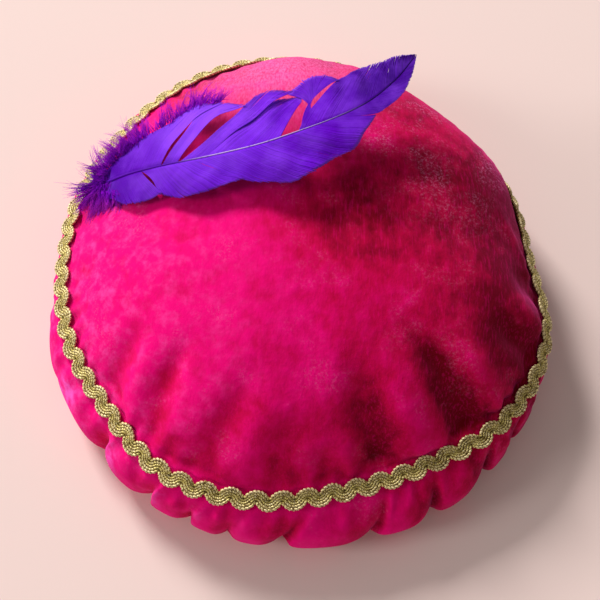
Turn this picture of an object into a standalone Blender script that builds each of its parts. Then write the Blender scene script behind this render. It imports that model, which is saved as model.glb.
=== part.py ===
"""Feathered beret: a puffed velvet crown and a gathered velvet underside, sewn edge to edge,
with a wavy gimp braid over the seam and one goose feather stitched on at the left.

The beret stands on the flat ring of its underside. The origin is the centre of the head
opening on that plane, +Z is up and +Y is the wearer's back. Lengths are in millimetres and
angles in degrees, counter-clockwise from +X seen from above, until a mesh is made. Radii are
measured from the seam's own middle, which lies a little off the origin.
"""

import bmesh
import bpy
import numpy as np

MM = 0.001
GAP = 0.3  # clearance between pieces that lie on each other

# Driving dimensions
MIDDLE = (2.1, 2.5)  # the seam's middle, from the origin
SEAM_HEIGHT = 38.0
DOME_RISE = 48.0
BED_WIDTH = 5.4  # edge of the crown that the braid lies on
VELVET = 1.8
HEM = 3.4
HEM_REACH = 6.0
OPENING_RADIUS = 84.0
CROWN_COLUMNS = 60
CROWN_RINGS = 9
COLUMNS_PER_GATHER = 4

BRAID_BAND = 5.6
BRAID_WAVE = 2.4  # how far the band swings to either side of the seam
BRAID_THICKNESS = 2.0
BRAID_GAP = 0.6
BRAID_WAVES = 64
STEPS_PER_WAVE = 4

FEATHER_LENGTH = 210.0
QUILL_STEPS = 28
QUILL_BASE_RADIUS = 1.3
QUILL_TIP_RADIUS = 0.4
VANE_THICKNESS = 0.8
VANE_CLEARANCE = 1.6  # how far the vanes keep off the crown
BARB_SWEEP_BASE = 0.12  # how far a barb runs towards the tip, as a share of the way left
BARB_SWEEP_TIP = 0.40
BARB_BOW = 0.35

# The seam, every 20 degrees: how far out it lies, how flat the dome meets the braid
# (0.5 is an ellipse, 1 a parabola), how steeply the braid's bed falls outwards on the crown
# and on the underside, and how far out the underside's gathers swell
SEAM_COLUMNS = ("angle", "radius", "flatness", "bed_tilt", "shoulder_tilt", "widest")
SEAM = (
    (0, 128.0, 0.58, 50, 50, 137.5),
    (20, 126.5, 0.50, 90, 45, 139.0),
    (40, 122.0, 0.48, 112, 30, 139.0),
    (60, 123.8, 0.48, 112, 26, 142.0),
    (80, 131.5, 0.50, 108, 26, 148.0),
    (100, 138.0, 0.56, 60, 30, 152.0),
    (120, 138.5, 0.70, 38, 30, 151.0),
    (140, 135.5, 0.78, 28, 30, 149.0),
    (160, 134.5, 0.80, 25, 32, 146.0),
    (180, 133.5, 0.78, 25, 36, 143.5),
    (200, 134.5, 0.74, 25, 26, 148.5),
    (220, 134.0, 0.72, 25, 22, 152.0),
    (240, 140.0, 0.72, 25, 24, 155.5),
    (260, 137.5, 0.72, 25, 22, 155.5),
    (280, 132.5, 0.72, 25, 18, 156.0),
    (300, 134.0, 0.70, 25, 18, 156.0),
    (320, 141.5, 0.68, 28, 34, 152.0),
    (340, 141.2, 0.62, 36, 55, 146.5),
)

# Soft folds that run out over the crown towards the braid; a negative depth is a ridge
CROWN_FOLD_COLUMNS = ("angle", "from_share", "to_share", "half_width", "depth")
CROWN_FOLDS = (
    (248, 0.58, 0.88, 5.0, 2.0),
    (259, 0.66, 0.93, 4.0, 2.2),
    (271, 0.70, 0.97, 5.0, 3.0),
    (281, 0.62, 0.96, 4.0, -2.0),
    (291, 0.46, 0.90, 5.0, 2.8),
    (311, 0.46, 0.98, 5.0, 4.5),
    (320, 0.66, 0.97, 5.0, -2.0),
    (337, 0.60, 0.95, 5.0, 2.0),
    (40, 0.55, 0.86, 8.0, 1.6),
    (82, 0.55, 0.84, 9.0, 1.6),
    (122, 0.60, 0.93, 7.0, 1.8),
    (205, 0.60, 0.92, 7.0, 1.6),
)

# Where the feather's stitches pull the crown down
STITCH_X = -108.0
STITCH_Y = 40.0
STITCH_REACH = 20.0
STITCH_DEPTH = 3.0

# The underside's section from the seam to the opening. on_bed is how far down its shoulder
# the braid's bed counts from the seam; shoulder and widest are the shares of the way out from
# the opening to those two outlines, and gather is how deep the creases cut
UNDERSIDE_COLUMNS = ("on_bed", "shoulder", "widest", "height", "gather")
UNDERSIDE = (
    (0.9, 1.00, 0.00, 0.0, 0.0),
    (6.2, 1.00, 0.00, 0.0, 0.6),
    (6.2, 0.45, 0.55, 14.6, 4.2),
    (6.2, 0.10, 0.90, 20.0, 6.4),
    (6.2, 0.00, 1.00, 15.6, 6.8),
    (6.2, 0.00, 0.96, 7.6, 5.6),
    (6.2, 0.00, 0.86, 2.2, 3.2),
    (6.2, 0.00, 0.72, 0.0, 0.0),
    (6.2, 0.00, 0.36, 0.0, 0.0),
    (6.2, 0.00, 0.15, 2.2, 1.4),
    (6.2, 0.00, 0.04, 5.0, 2.2),
    (6.2, 0.00, 0.00, 9.0, 1.6),
)
WIDEST_STATION = 4

# Creases between the underside's gathers that show at the front, and how far each leans
GATHER_COLUMNS = ("angle", "depth", "lean")
GATHERS = (
    (190, 0.5, 0.0),
    (206, 0.35, 0.0),
    (222, 1.3, -2.0),
    (238, 1.0, 1.0),
    (247, 0.9, 1.0),
    (255, 0.6, 2.0),
    (266, 1.0, 5.0),
    (284, 0.9, 5.5),
    (297, 1.0, 3.0),
    (311, 1.2, 3.0),
    (319, 0.8, 3.0),
    (331, 0.8, 2.0),
    (343, 0.7, 1.0),
)
HIDDEN_GATHERS = 16

# The feather from its base to its tip: the quill's place, then how wide each side's vane is
FEATHER_COLUMNS = ("station", "x", "y", "height", "back", "front")
FEATHER = (
    (0.0, -115.0, 40.0, 53.5, 2.0, 2.0),
    (0.1, -97.5, 40.5, 65.0, 19.0, 14.0),
    (0.2, -79.5, 39.5, 75.0, 25.0, 18.0),
    (0.3, -60.8, 38.5, 83.5, 35.5, 19.5),
    (0.4, -41.3, 38.8, 90.5, 33.0, 18.5),
    (0.5, -21.5, 41.0, 96.0, 28.5, 24.5),
    (0.6, -2.0, 46.0, 100.0, 28.0, 28.0),
    (0.7, 17.6, 53.0, 102.3, 29.5, 22.0),
    (0.8, 35.7, 62.7, 103.3, 21.0, 8.5),
    (0.9, 50.6, 76.7, 103.2, 16.5, 7.0),
    (1.0, 62.6, 93.8, 102.5, 0.6, 0.6),
)
VANE_START = 0.05
VANE_END = 0.97
VANE_ROWS = 3
VANE_STRIPS = 15
VANE_DROOP = 2.0

# Splits between the barbs: where one leaves the quill, how far across the vane it starts,
# and how wide it opens at the vane's edge
SPLIT_COLUMNS = ("station", "start", "opening")
BACK_SPLITS = (
    (0.13, 0.34, 5.0),
    (0.24, 0.34, 9.0),
    (0.50, 0.34, 6.0),
    (0.62, 0.67, 4.0),
)
FRONT_SPLITS = (
    (0.10, 0.34, 4.0),
    (0.40, 0.67, 4.0),
)

# Locks of down round the base of the quill
DOWN_COLUMNS = ("angle", "length")
DOWN_LOCKS = (
    (120, 13),
    (138, 16),
    (156, 13),
    (172, 17),
    (188, 14),
    (204, 18),
    (220, 15),
    (236, 19),
    (252, 20),
    (268, 18),
    (284, 14),
)
DOWN_ROOT_RADIUS = 1.7
DOWN_LOCK_SPREAD = 10.5
DOWN_LOCK_SHAPE = (1.0, 1.4, 1.2, 0.25)  # the lock's width from its root to its end
DOWN_CLEARANCE = 0.9  # from the crown to the middle of the down's thickness
DOWN_FALL = 0.3


def column(rows, names, name):
    """One named column of a table, as an array."""
    return np.array([row[names.index(name)] for row in rows], dtype=float)


def smooth(stations, values, where):
    """A smooth curve through the stations: each span is a cubic that keeps the local slope."""
    slopes = np.gradient(values, stations)
    where = np.clip(where, stations[0], stations[-1])
    i = np.clip(np.searchsorted(stations, where, side="right") - 1, 0, len(stations) - 2)
    span = stations[i + 1] - stations[i]
    f = (where - stations[i]) / span
    start = (1 + 2 * f) * (1 - f) ** 2 * values[i] + f * (1 - f) ** 2 * span * slopes[i]
    end = f**2 * (3 - 2 * f) * values[i + 1] + f**2 * (f - 1) * span * slopes[i + 1]
    return start + end


def around(name, angle):
    """A column of the seam's table at any angle, joined smoothly all the way round."""
    angles = column(SEAM, SEAM_COLUMNS, "angle")
    values = column(SEAM, SEAM_COLUMNS, name)
    turns = np.concatenate([angles - 360, angles, angles + 360])
    return smooth(turns, np.tile(values, 3), np.mod(angle, 360))


def ease(low, high, value):
    """0 below low, 1 above high, and a soft step between them."""
    f = np.clip((value - low) / (high - low), 0, 1)
    return f * f * (3 - 2 * f)


def turned(angle, radius, height):
    """Points at these angles, radii and heights."""
    return np.stack([radius * np.cos(np.radians(angle)), radius * np.sin(np.radians(angle)), height], axis=-1)


def bed_edge(angle):
    """Radius and height where the dome ends and the braid's bed begins."""
    tilt = np.radians(around("bed_tilt", angle))
    return around("radius", angle) - BED_WIDTH * np.cos(tilt), SEAM_HEIGHT + BED_WIDTH * np.sin(tilt)


def stitch_dip(x, y):
    """How far the feather's stitches pull the crown down at a place."""
    away = ((x - STITCH_X) ** 2 + (y - STITCH_Y) ** 2) / STITCH_REACH**2
    return STITCH_DEPTH * np.exp(-away)


def crown_height(x, y):
    """Height of the crown's dome over a place seen from above."""
    angle = np.degrees(np.arctan2(y, x))
    radius, foot = bed_edge(angle)
    level = np.clip(1 - (np.hypot(x, y) / radius) ** 2, 0, 1) ** around("flatness", angle)
    return foot + (SEAM_HEIGHT + DOME_RISE - foot) * level - stitch_dip(x, y)


def crown_point(angle, share):
    """The crown's outside. share is 0 at the top's middle and 1 at the edge of the bed: the
    radius grows as its sine, and the folds push the cloth in along the dome's own slope."""
    radius, foot = bed_edge(angle)
    turn = np.radians(90 * share)
    out = radius * np.sin(turn)
    x = out * np.cos(np.radians(angle))
    y = out * np.sin(np.radians(angle))
    height = foot + (SEAM_HEIGHT + DOME_RISE - foot) * np.cos(turn) ** (2 * around("flatness", angle))
    height = height - stitch_dip(x, y)
    dent = np.zeros_like(out)
    for middle, start, stop, half_width, depth in CROWN_FOLDS:
        aside = (np.mod(angle - middle + 180, 360) - 180) / half_width
        reach = ease(start, 0.5 * (start + stop), share) * (1 - ease(stop, 1.0, share))
        dent = dent + depth * np.exp(-(aside**2)) * reach
    return turned(angle, out - dent * np.sin(turn), height - dent * np.cos(turn))


def seat(angle, distance):
    """Where something lies on the seam's bed: distance is negative on the crown's side and
    positive on the underside's. It gives the radius and height of the cloth there."""
    tilt = np.radians(np.where(distance < 0, around("bed_tilt", angle), around("shoulder_tilt", angle)))
    radius = distance * np.cos(tilt)
    height = -distance * np.sin(tilt)
    return around("radius", angle) + radius, SEAM_HEIGHT + height


def gather_creases():
    """All the creases in order: the ones that show, then evenly spaced ones round the back."""
    seen = [tuple(float(v) for v in row) for row in GATHERS]
    first, last = seen[0][0] + 360, seen[-1][0]
    step = (first - last) / (HIDDEN_GATHERS + 1)
    for n in range(1, HIDDEN_GATHERS + 1):
        sway = 2.2 * np.sin(2.4 * n)
        seen.append((last + n * step + sway, 0.85 + 0.25 * np.sin(1.7 * n), 1.5 * np.cos(2.1 * n)))
    return seen


def lobe(fraction):
    """The swelling of the cloth between two creases: 0 at either crease and 1 between them."""
    return 1 - np.abs(2 * fraction - 1) ** 3


def underside_point(place, station):
    """The underside's outside. place counts the gathers round the hat, and its whole numbers
    are the creases; station counts the rows of the section from the seam inwards."""
    creases = np.array(gather_creases())
    count = len(creases)
    angles = np.append(creases[:, 0], creases[0, 0] + 360)
    leans = np.append(creases[:, 2], creases[0, 2])
    depths = np.append(creases[:, 1], creases[0, 1])
    near = np.rint(np.mod(place, count)).astype(int)
    fraction = np.mod(place, 1.0)
    on_bed, shoulder, widest, height, gather = (
        np.interp(station, np.arange(len(UNDERSIDE)), column(UNDERSIDE, UNDERSIDE_COLUMNS, name))
        for name in UNDERSIDE_COLUMNS
    )
    to_seam = np.clip(1 - station / WIDEST_STATION, 0, 1)
    order = np.arange(count + 1)
    angle = np.interp(np.mod(place, count), order, angles)
    angle = angle + np.interp(np.mod(place, count), order, leans) * to_seam
    cut = gather * depths[near] * (1 - lobe(fraction))
    slope = 90 - 90 * np.clip((station - 1) / (WIDEST_STATION - 1), 0, 2)
    shoulder_radius, shoulder_height = seat(angle, on_bed)
    radius = OPENING_RADIUS + shoulder * (shoulder_radius - OPENING_RADIUS)
    radius = radius + widest * (around("widest", angle) - OPENING_RADIUS)
    height = height + shoulder * shoulder_height
    radius = radius - cut * np.cos(np.radians(slope))
    height = height - cut * np.sin(np.radians(slope))
    return turned(angle, radius, np.maximum(height, 0.0))


def quill_point(station):
    """The quill's middle line in space."""
    stations = column(FEATHER, FEATHER_COLUMNS, "station")
    table = np.stack([column(FEATHER, FEATHER_COLUMNS, name) for name in ("x", "y", "height")])
    return np.stack([smooth(stations, places, station) for places in table], axis=-1)


def quill_radius(station):
    """The quill tapers from its base to its tip."""
    return QUILL_BASE_RADIUS + (QUILL_TIP_RADIUS - QUILL_BASE_RADIUS) * station


def quill_side(station):
    """The direction to the quill's left, level with the ground."""
    ahead = quill_point(np.minimum(station + 0.01, 1)) - quill_point(np.maximum(station - 0.01, 0))
    flat = ahead[..., :2] / np.linalg.norm(ahead[..., :2], axis=-1, keepdims=True)
    return np.stack([-flat[..., 1], flat[..., 0], np.zeros(flat.shape[:-1])], axis=-1)


def vane_point(side, root, across, shift):
    """One side of the feather. A barb leaves the quill at root and sweeps towards the tip;
    across is 0 at the quill and 1 at the vane's edge, and shift moves the barb's end along."""
    sweep = BARB_SWEEP_BASE + (BARB_SWEEP_TIP - BARB_SWEEP_BASE) * ease(0.05, 0.7, root)
    ahead = (1 - root) * sweep
    end = np.clip(root + ahead + shift, 0.02, 0.999)
    name = "back" if side > 0 else "front"
    stations = column(FEATHER, FEATHER_COLUMNS, "station")
    width = smooth(stations, column(FEATHER, FEATHER_COLUMNS, name), end)
    clear = (quill_radius(root) + GAP + 0.1) * side
    start_point = quill_point(root) + quill_side(root) * clear[..., None]
    end_point = quill_point(end) + quill_side(end) * (width * side)[..., None]
    bow = (quill_point(root) - quill_point(end)) * (BARB_BOW * across * (1 - across))[..., None]
    point = start_point * (1 - across)[..., None] + end_point * across[..., None] + bow
    point[..., 2] -= VANE_DROOP * across**2
    lowest = crown_height(point[..., 0], point[..., 1]) + VANE_CLEARANCE
    point[..., 2] = np.maximum(point[..., 2], lowest)
    return point


def finish(name, colour, roughness, sheen=0.0, metallic=0.0):
    """A Principled material."""
    material = bpy.data.materials.new(name)
    material.use_nodes = True
    shader = material.node_tree.nodes["Principled BSDF"]
    shader.inputs["Base Color"].default_value = (*colour, 1.0)
    shader.inputs["Roughness"].default_value = roughness
    shader.inputs["Metallic"].default_value = metallic
    shader.inputs["Sheen Weight"].default_value = sheen
    return material


def finished(mesh, name, hat, material):
    """Puts a mesh in the scene as a smooth object of its own, carried by the hat's empty."""
    thing = bpy.data.objects.new(name, mesh)
    hat.users_collection[0].objects.link(thing)
    thing.parent = hat
    mesh.materials.append(material)
    mesh.shade_smooth()
    return thing


def grid_mesh(name, columns, rows, place, closed=False, missing=None):
    """A grid of columns and rows, each corner moved to place(column, row) in millimetres. A
    closed grid is rolled into a ring and welded, and missing(column, row) names the cells to
    leave out."""
    shape = bmesh.new()
    bmesh.ops.create_grid(shape, x_segments=columns, y_segments=rows, size=0.5)
    if missing is not None:
        gone = []
        for face in shape.faces:
            middle = face.calc_center_median()
            if missing(int((middle.x + 0.5) * columns), int((middle.y + 0.5) * rows)):
                gone.append(face)
        bmesh.ops.delete(shape, geom=gone, context="FACES")
    flat = np.array([vert.co[:2] for vert in shape.verts]) + 0.5
    points = place(np.rint(flat[:, 0] * columns), np.rint(flat[:, 1] * rows)) * MM
    for vert, point in zip(shape.verts, points):
        vert.co = point
    if closed:
        bmesh.ops.remove_doubles(shape, verts=shape.verts, dist=0.01 * MM)
    mesh = bpy.data.meshes.new(name)
    shape.to_mesh(mesh)
    shape.free()
    return mesh


def thicken(thing, thickness, offset):
    """Gives an open sheet its thickness."""
    wall = thing.modifiers.new("wall", "SOLIDIFY")
    wall.thickness = thickness * MM
    wall.offset = offset
    return wall


def make_crown(hat, material):
    """The dome starts as the upper half of a sphere, whose rings are moved out to the hat's own
    outline; the last ring is carried down the braid's bed to the seam."""
    shape = bmesh.new()
    bmesh.ops.create_uvsphere(shape, u_segments=CROWN_COLUMNS, v_segments=2 * CROWN_RINGS, radius=1)
    lower = [vert for vert in shape.verts if vert.co.z < -0.001]
    bmesh.ops.delete(shape, geom=lower, context="VERTS")
    places = np.array([vert.co for vert in shape.verts])
    angle = np.degrees(np.arctan2(places[:, 1], places[:, 0]))
    share = np.degrees(np.arccos(np.clip(places[:, 2], -1, 1))) / 90
    for vert, point in zip(shape.verts, crown_point(angle, share) * MM):
        vert.co = point
    rim = [edge for edge in shape.edges if edge.is_boundary]
    bed = bmesh.ops.extrude_edge_only(shape, edges=rim)["geom"]
    for vert in [item for item in bed if isinstance(item, bmesh.types.BMVert)]:
        around_angle = np.degrees(np.arctan2(vert.co.y, vert.co.x))
        vert.co = turned(around_angle, around("radius", around_angle), SEAM_HEIGHT) * MM
    mesh = bpy.data.meshes.new("crown")
    shape.to_mesh(mesh)
    shape.free()
    crown = finished(mesh, "crown", hat, material)
    thicken(crown, VELVET, -1)
    return crown


def make_underside(hat, material):
    """The gathered ring from the opening's hem out to the seam, thicker along the hem."""
    gathers = len(gather_creases())
    stations = len(UNDERSIDE) - 1

    def place(across, along):
        return underside_point(across / COLUMNS_PER_GATHER, stations - along)

    mesh = grid_mesh("underside", gathers * COLUMNS_PER_GATHER, stations, place, closed=True)
    underside = finished(mesh, "underside", hat, material)
    hem = underside.vertex_groups.new(name="hem")
    hem_radius = (OPENING_RADIUS + HEM_REACH) * MM
    turned_in = [vert.index for vert in mesh.vertices if np.hypot(vert.co.x, vert.co.y) < hem_radius]
    hem.add(turned_in, 1.0, "REPLACE")
    wall = thicken(underside, HEM, -1)
    wall.vertex_group = "hem"
    wall.thickness_vertex_group = VELVET / HEM
    return underside


def make_braid(hat, material):
    """The braid starts as a torus: each of its rings becomes the band's flat section, moved to
    and fro across the seam by the wave."""
    steps = BRAID_WAVES * STEPS_PER_WAVE
    bpy.ops.mesh.primitive_torus_add(major_segments=steps, minor_segments=4, major_radius=1, minor_radius=0.1)
    braid = bpy.context.object
    for owner in list(braid.users_collection):
        owner.objects.unlink(braid)
    hat.users_collection[0].objects.link(braid)
    braid.parent = hat
    braid.name = "braid"
    mesh = braid.data
    mesh.name = "braid"
    mesh.materials.append(material)
    places = np.array([vert.co for vert in mesh.vertices])
    angle = np.degrees(np.arctan2(places[:, 1], places[:, 0]))
    outward = np.hypot(places[:, 0], places[:, 1]) - 1
    upper = places[:, 2]
    # a four-sided ring has its corners out, up, in and down; they become the band's outer
    # bottom, outer top, inner top and inner bottom
    outer = (outward > 0.05) | (upper > 0.05)
    top = (upper > 0.05) | (outward < -0.05)
    wave = BRAID_WAVE * np.sin(np.radians(angle) * BRAID_WAVES)
    radius, height = seat(angle, wave + np.where(outer, 0.5, -0.5) * BRAID_BAND)
    lean = np.radians(0.5 * (around("bed_tilt", angle) + around("shoulder_tilt", angle)))
    rise = BRAID_GAP + np.where(top, BRAID_THICKNESS, 0)
    points = turned(angle, radius + rise * np.sin(lean), height + rise * np.cos(lean)) * MM
    mesh.vertices.foreach_set("co", points.ravel())
    mesh.update()
    return braid


def make_quill(hat, material):
    """The quill is a tapering wire."""
    curve = bpy.data.curves.new("feather_quill", "CURVE")
    curve.dimensions = "3D"
    curve.bevel_depth = QUILL_BASE_RADIUS * MM
    curve.bevel_resolution = 2
    curve.use_fill_caps = True
    stations = np.linspace(0, 1, QUILL_STEPS)
    spline = curve.splines.new("POLY")
    spline.points.add(len(stations) - 1)
    for point, place, radius in zip(spline.points, quill_point(stations) * MM, quill_radius(stations)):
        point.co = (*place, 1)
        point.radius = radius / QUILL_BASE_RADIUS
    curve.materials.append(material)
    quill = bpy.data.objects.new("feather_quill", curve)
    hat.users_collection[0].objects.link(quill)
    quill.parent = hat
    return quill


def make_vane(name, side, splits, hat, material):
    """One side of the feather, as a sheet of barb strips that share their roots and part at the
    splits. Each split is a narrow strip of its own whose outer cells are left out."""
    roots = list(np.linspace(VANE_START, VANE_END, VANE_STRIPS + 1))
    roots = [root for root in roots if all(abs(root - split[0]) > 0.02 for split in splits)]
    barbs = [(root, 0.0, None) for root in roots]
    for station, start, opening in splits:
        half = 0.5 * opening / FEATHER_LENGTH
        barbs.append((station - 0.002, -half, start))
        barbs.append((station + 0.002, half, None))
    barbs.sort()
    root, shift = np.array([barb[:2] for barb in barbs]).T

    def place(across, along):
        i = across.astype(int)
        return vane_point(side, root[i], along / VANE_ROWS, shift[i])

    def missing(across, along):
        start = barbs[across][2]
        return start is not None and (along + 0.5) / VANE_ROWS > start

    mesh = grid_mesh(name, len(barbs) - 1, VANE_ROWS, place, missing=missing)
    vane = finished(mesh, name, hat, material)
    thicken(vane, VANE_THICKNESS, 0)
    return vane


def make_down(hat, material):
    """The down is a ring of locks round the quill's base, joined at their roots."""
    angles = column(DOWN_LOCKS, DOWN_COLUMNS, "angle")
    lengths = column(DOWN_LOCKS, DOWN_COLUMNS, "length")
    base = quill_point(np.array(0.0))

    def place(across, along):
        lock = (across / 2).astype(int)
        side = np.where(across % 2 == 0, -0.5, 0.5)
        reach = DOWN_ROOT_RADIUS + (lengths[lock] - DOWN_ROOT_RADIUS) * along / 3
        spread = DOWN_LOCK_SPREAD * np.array(DOWN_LOCK_SHAPE)[along.astype(int)]
        turn = np.radians(angles[lock] + side * spread)
        flat = base[:2] + np.stack([reach * np.cos(turn), reach * np.sin(turn)], axis=-1)
        lowest = crown_height(flat[:, 0], flat[:, 1]) + DOWN_CLEARANCE
        height = np.maximum(base[2] - DOWN_FALL * reach, lowest)
        return np.concatenate([flat, height[:, None]], axis=1)

    def missing(across, along):
        return across % 2 == 1 and along > 0

    mesh = grid_mesh("feather_down", 2 * len(DOWN_LOCKS) - 1, 3, place, missing=missing)
    down = finished(mesh, "feather_down", hat, material)
    thicken(down, VANE_THICKNESS, 0)
    return down


def main():
    for thing in list(bpy.data.objects):
        bpy.data.objects.remove(thing, do_unlink=True)
    collection = bpy.data.collections.new("feathered_beret")
    bpy.context.scene.collection.children.link(collection)
    hat = bpy.data.objects.new("feathered_beret", None)
    hat.location = (MIDDLE[0] * MM, MIDDLE[1] * MM, 0)
    collection.objects.link(hat)

    crown_velvet = finish("crown_velvet", (0.78, 0.005, 0.13), 0.6, sheen=0.6)
    underside_velvet = finish("underside_velvet", (0.68, 0.005, 0.12), 0.65, sheen=0.6)
    gimp = finish("gimp_braid", (0.42, 0.36, 0.09), 0.4, metallic=0.6)
    quill_horn = finish("feather_quill", (0.18, 0.02, 0.45), 0.35)
    back_barbs = finish("feather_vane_back", (0.16, 0.01, 0.62), 0.55)
    front_barbs = finish("feather_vane_front", (0.13, 0.005, 0.58), 0.55)
    fluff = finish("feather_down", (0.09, 0.01, 0.38), 0.7, sheen=0.3)

    make_crown(hat, crown_velvet)
    make_underside(hat, underside_velvet)
    make_braid(hat, gimp)
    make_quill(hat, quill_horn)
    make_vane("feather_vane_back", 1.0, BACK_SPLITS, hat, back_barbs)
    make_vane("feather_vane_front", -1.0, FRONT_SPLITS, hat, front_barbs)
    make_down(hat, fluff)


main()
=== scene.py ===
"""Feathered beret of hot-pink velvet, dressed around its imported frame.

Lengths are in millimetres and angles in degrees, counter-clockwise from +X seen from above,
until a mesh is made. Radii are measured from the seam's own middle, as on the frame.
"""

import bpy
import numpy as np
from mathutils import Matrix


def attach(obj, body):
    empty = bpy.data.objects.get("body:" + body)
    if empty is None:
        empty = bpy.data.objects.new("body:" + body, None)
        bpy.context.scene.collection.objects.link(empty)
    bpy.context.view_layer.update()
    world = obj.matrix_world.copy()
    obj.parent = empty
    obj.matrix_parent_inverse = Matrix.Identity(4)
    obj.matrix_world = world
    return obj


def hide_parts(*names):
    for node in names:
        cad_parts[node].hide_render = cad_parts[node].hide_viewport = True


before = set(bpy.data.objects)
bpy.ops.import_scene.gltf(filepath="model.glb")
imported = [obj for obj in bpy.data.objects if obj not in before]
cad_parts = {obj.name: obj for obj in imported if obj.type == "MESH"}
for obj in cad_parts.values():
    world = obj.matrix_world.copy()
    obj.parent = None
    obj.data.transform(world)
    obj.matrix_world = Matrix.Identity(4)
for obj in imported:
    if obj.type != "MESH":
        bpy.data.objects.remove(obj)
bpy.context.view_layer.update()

# Camera. The photograph looks down on the beret from its front.
MM = 0.001
AIM = np.array([1.5, -21.2, 38.0])
CAMERA_ELEVATION = 66.0
CAMERA_DISTANCE = 560.0
CAMERA_LENS = 60.48

camera_data = bpy.data.cameras.new("camera")
camera_data.lens = CAMERA_LENS
camera_data.sensor_width = 36.0
camera = bpy.data.objects.new("camera", camera_data)
bpy.context.scene.collection.objects.link(camera)
rise = np.radians(CAMERA_ELEVATION)
camera.location = (AIM + CAMERA_DISTANCE * np.array([0.0, -np.cos(rise), np.sin(rise)])) * MM
camera.rotation_euler = (np.pi / 2 - rise, 0.0, 0.0)
bpy.context.scene.camera = camera

# Studio. A plain pale floor under an even pale sky, with a broad soft lamp at the left and a
# second one behind the left shoulder.
FLOOR_SIZE = 12.0
FLOOR_COLOUR = (0.93, 0.75, 0.705)
SKY_COLOUR = (1.0, 0.93, 0.90)
SKY_STRENGTH = 0.27
LAMP_DISTANCE = 6.0
LAMP_SIZE = 1.7
LAMP_COLOUR = (1.0, 0.97, 0.95)
LAMPS = {"side_lamp": (190.0, 30.0, 92.0), "back_lamp": (124.0, 33.0, 380.0)}


def material_of(name):
    """A new material, its node tree and its Principled shader."""
    material = bpy.data.materials.new(name)
    material.use_nodes = True
    tree = material.node_tree
    return material, tree, tree.nodes["Principled BSDF"]


floor_material, _, floor_shader = material_of("studio_floor")
floor_shader.inputs["Base Color"].default_value = (*FLOOR_COLOUR, 1.0)
floor_shader.inputs["Roughness"].default_value = 0.9
floor_shader.inputs["Specular IOR Level"].default_value = 0.1
half = FLOOR_SIZE / 2
floor_mesh = bpy.data.meshes.new("studio_floor")
corners = [(-half, -half, 0.0), (half, -half, 0.0), (half, half, 0.0), (-half, half, 0.0)]
floor_mesh.from_pydata(corners, [], [(0, 1, 2, 3)])
floor_mesh.materials.append(floor_material)
floor = bpy.data.objects.new("studio_floor", floor_mesh)
bpy.context.scene.collection.objects.link(floor)

sky = bpy.data.worlds.new("studio_sky")
sky.use_nodes = True
sky.node_tree.nodes["Background"].inputs["Color"].default_value = (*SKY_COLOUR, 1.0)
sky.node_tree.nodes["Background"].inputs["Strength"].default_value = SKY_STRENGTH
bpy.context.scene.world = sky
bpy.context.scene.view_settings.view_transform = "Standard"

for lamp_name, (azimuth, elevation, power) in LAMPS.items():
    lamp_data = bpy.data.lights.new(lamp_name, "AREA")
    lamp_data.size = LAMP_SIZE
    lamp_data.energy = power
    lamp_data.color = LAMP_COLOUR
    lamp = bpy.data.objects.new(lamp_name, lamp_data)
    bpy.context.scene.collection.objects.link(lamp)
    turn = np.radians(azimuth)
    rise = np.radians(elevation)
    lamp.location = LAMP_DISTANCE * np.array(
        [np.cos(turn) * np.cos(rise), np.sin(turn) * np.cos(rise), np.sin(rise)]
    )
    lamp.rotation_euler = (np.pi / 2 - rise, 0.0, turn + np.pi / 2)

# Crown. The upper piece is one round of crushed velvet, cut wide and eased into the seam, so
# it puffs up and runs down to the braid in soft folds. It is sewn to the underside all round.
MIDDLE = (2.1, 2.5)
SEAM_HEIGHT = 38.0
DOME_RISE = 48.0
BED_WIDTH = 5.4
VELVET = 1.8
CROWN_COLUMNS = 360
CROWN_RINGS = 126
BED_RINGS = 4

SEAM_COLUMNS = ("angle", "radius", "flatness", "bed_tilt", "shoulder_tilt", "widest")
SEAM = (
    (0, 128.0, 0.58, 50, 50, 135.5),
    (20, 126.5, 0.50, 90, 45, 133.5),
    (40, 122.0, 0.48, 112, 30, 134.0),
    (60, 123.8, 0.48, 112, 26, 142.0),
    (80, 131.5, 0.50, 108, 26, 148.0),
    (100, 138.0, 0.56, 60, 30, 151.0),
    (120, 138.5, 0.70, 38, 30, 149.0),
    (140, 135.5, 0.78, 28, 30, 145.0),
    (160, 134.5, 0.80, 25, 32, 141.5),
    (180, 133.5, 0.78, 25, 36, 140.5),
    (200, 134.5, 0.74, 25, 26, 149.5),
    (220, 134.0, 0.72, 25, 22, 152.0),
    (240, 140.0, 0.72, 25, 24, 155.5),
    (260, 137.5, 0.72, 25, 22, 155.5),
    (280, 132.5, 0.72, 25, 18, 156.0),
    (300, 134.0, 0.70, 25, 18, 156.0),
    (320, 141.5, 0.68, 28, 34, 152.0),
    (340, 141.2, 0.62, 36, 55, 146.5),
)

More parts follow.
